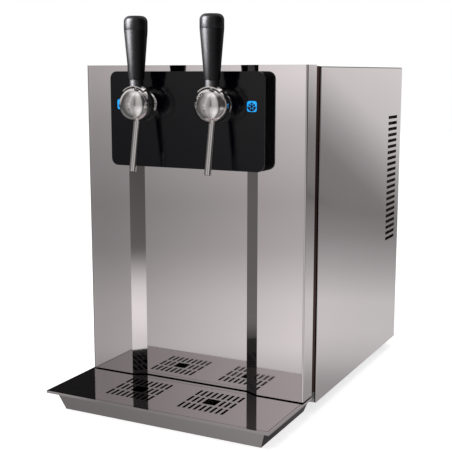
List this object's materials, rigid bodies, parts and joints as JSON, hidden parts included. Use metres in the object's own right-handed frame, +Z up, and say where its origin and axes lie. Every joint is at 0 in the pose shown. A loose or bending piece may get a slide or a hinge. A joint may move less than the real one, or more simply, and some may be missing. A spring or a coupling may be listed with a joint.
{
  "type": "countertop sparkling water dispenser",
  "caption": "Countertop water dispenser with a polished steel cabinet, folded front panel, black fascia, ball taps with black lever handles and a slide-out drip tray with a lift-off grille.",
  "frame": {"origin": "on the counter under the middle of the footprint, with tray and rear fittings counted in", "axes": "+X to the machine's left-to-right as seen from the front, +Y from the taps to the rear, +Z up"},
  "size_m": [0.342, 0.555, 0.5436],
  "materials": {
    "mirror_steel": "polished stainless sheet, mirror bright",
    "satin_steel": "fine satin stainless",
    "chrome_plate": "polished chrome",
    "zinc_sheet": "zinc-plated sheet",
    "black_sheet": "black powder coat",
    "black_gloss": "gloss black acrylic",
    "black_plastic": "satin black moulding",
    "blue_lens": "lit blue lens",
    "circuit_board": "green board",
    "white_plastic": "natural moulding",
    "hose_plastic": "milky tube",
    "foam": "closed-cell foam",
    "rubber": "black rubber",
    "copper": "bare copper",
    "brass": "bare brass",
    "fin_aluminium": "bare fins"
  },
  "bodies": {
    "machine": {"feet": "rubber", "base_plate": "satin_steel", "cabinet_cover": "mirror_steel", "rear_panel": "zinc_sheet", "front_bulkhead": "black_sheet", "panel_frame": "black_sheet", "front_panel": "mirror_steel", "fascia_housing": "black_plastic", "fascia_plate": "black_gloss", "left_indicator": "blue_lens", "right_indicator": "blue_lens", "indicator_boards": "circuit_board", "lever_pins": "satin_steel", "tap_gaskets": "rubber", "tap_lock_nuts": "brass", "tap_tails": "brass", "bath_jacket": "foam", "bath_liner": "white_plastic", "bath_lid": "white_plastic", "evaporator_coil": "copper", "water_coil": "satin_steel", "carbonator": "satin_steel", "agitator_motor": "black_plastic", "compressor": "black_sheet", "compressor_mounts": "rubber", "condenser_fins": "fin_aluminium", "condenser_tube": "copper", "condenser_plates": "zinc_sheet", "fan_shroud": "black_plastic", "fan_motor": "zinc_sheet", "pump_motor": "black_sheet", "pump_head": "brass", "inlet_fittings": "brass", "inlet_valve": "white_plastic", "power_inlet": "black_plastic", "control_box": "black_plastic", "hoses": "hose_plastic", "copper_pipes": "copper", "rear_screws": "zinc_sheet", "left_tap_body": "chrome_plate", "left_tap_spout": "chrome_plate", "right_tap_body": "chrome_plate", "right_tap_spout": "chrome_plate"},
    "tray": {"drip_tray": "mirror_steel"},
    "grille": {"tray_grille": "mirror_steel"},
    "fan": {"fan_blades": "black_plastic"},
    "agitator": {"agitator_paddle": "satin_steel"},
    "pump_shaft": {"pump_rotor": "satin_steel"},
    "switch_rocker": {"power_switch": "black_plastic"},
    "knob": {"temperature_knob": "black_plastic"},
    "left_lever": {"left_tap_lever": "satin_steel", "left_tap_neck": "chrome_plate", "left_tap_handle": "black_plastic", "left_handle_cap": "black_plastic"},
    "left_valve": {"left_valve_rod": "satin_steel"},
    "right_lever": {"right_tap_lever": "satin_steel", "right_tap_neck": "chrome_plate", "right_tap_handle": "black_plastic", "right_handle_cap": "black_plastic"},
    "right_valve": {"right_valve_rod": "satin_steel"}
  },
  "joints": [
    {"name": "left_lever_pull", "type": "hinge", "parent": "machine", "child": "left_lever", "pos_m": [-0.057, -0.2095, 0.4281], "axis": [1, 0, 0], "range_deg": [0, 18]},
    {"name": "left_valve_open", "type": "slide", "parent": "machine", "child": "left_valve", "axis": [0, 1, 0], "range_m": [0, 0.0032]},
    {"name": "right_lever_pull", "type": "hinge", "parent": "machine", "child": "right_lever", "pos_m": [0.057, -0.2095, 0.4281], "axis": [1, 0, 0], "range_deg": [0, 18]},
    {"name": "right_valve_open", "type": "slide", "parent": "machine", "child": "right_valve", "axis": [0, 1, 0], "range_m": [0, 0.0032]},
    {"name": "tray_slide", "type": "slide", "parent": "machine", "child": "tray", "axis": [0, -1, 0], "range_m": [0, 0.15]},
    {"name": "grille_lift", "type": "slide", "parent": "tray", "child": "grille", "axis": [0, 0, 1], "range_m": [0, 0.12]},
    {"name": "fan_spin", "type": "hinge", "parent": "machine", "child": "fan", "pos_m": [0, 0.1735, 0.2956], "axis": [0, 1, 0], "continuous": true},
    {"name": "agitator_spin", "type": "hinge", "parent": "machine", "child": "agitator", "pos_m": [-0.0618, -0.0289, 0.25], "axis": [0, 0, 1], "continuous": true},
    {"name": "pump_spin", "type": "hinge", "parent": "machine", "child": "pump_shaft", "pos_m": [-0.06, 0.1213, 0.0712], "axis": [1, 0, 0], "continuous": true},
    {"name": "switch_rock", "type": "hinge", "parent": "machine", "child": "switch_rocker", "pos_m": [0.0748, 0.2545, 0.0952], "axis": [1, 0, 0], "range_deg": [-18, 0]},
    {"name": "knob_turn", "type": "hinge", "parent": "machine", "child": "knob", "pos_m": [-0.0528, 0.2615, 0.436], "axis": [0, 1, 0], "range_deg": [0, 270]}
  ],
  "couplings": [
    {"joint": "left_valve_open", "follows": "left_lever_pull", "m_per_rad": 0.009},
    {"joint": "right_valve_open", "follows": "right_lever_pull", "m_per_rad": 0.009}
  ]
}
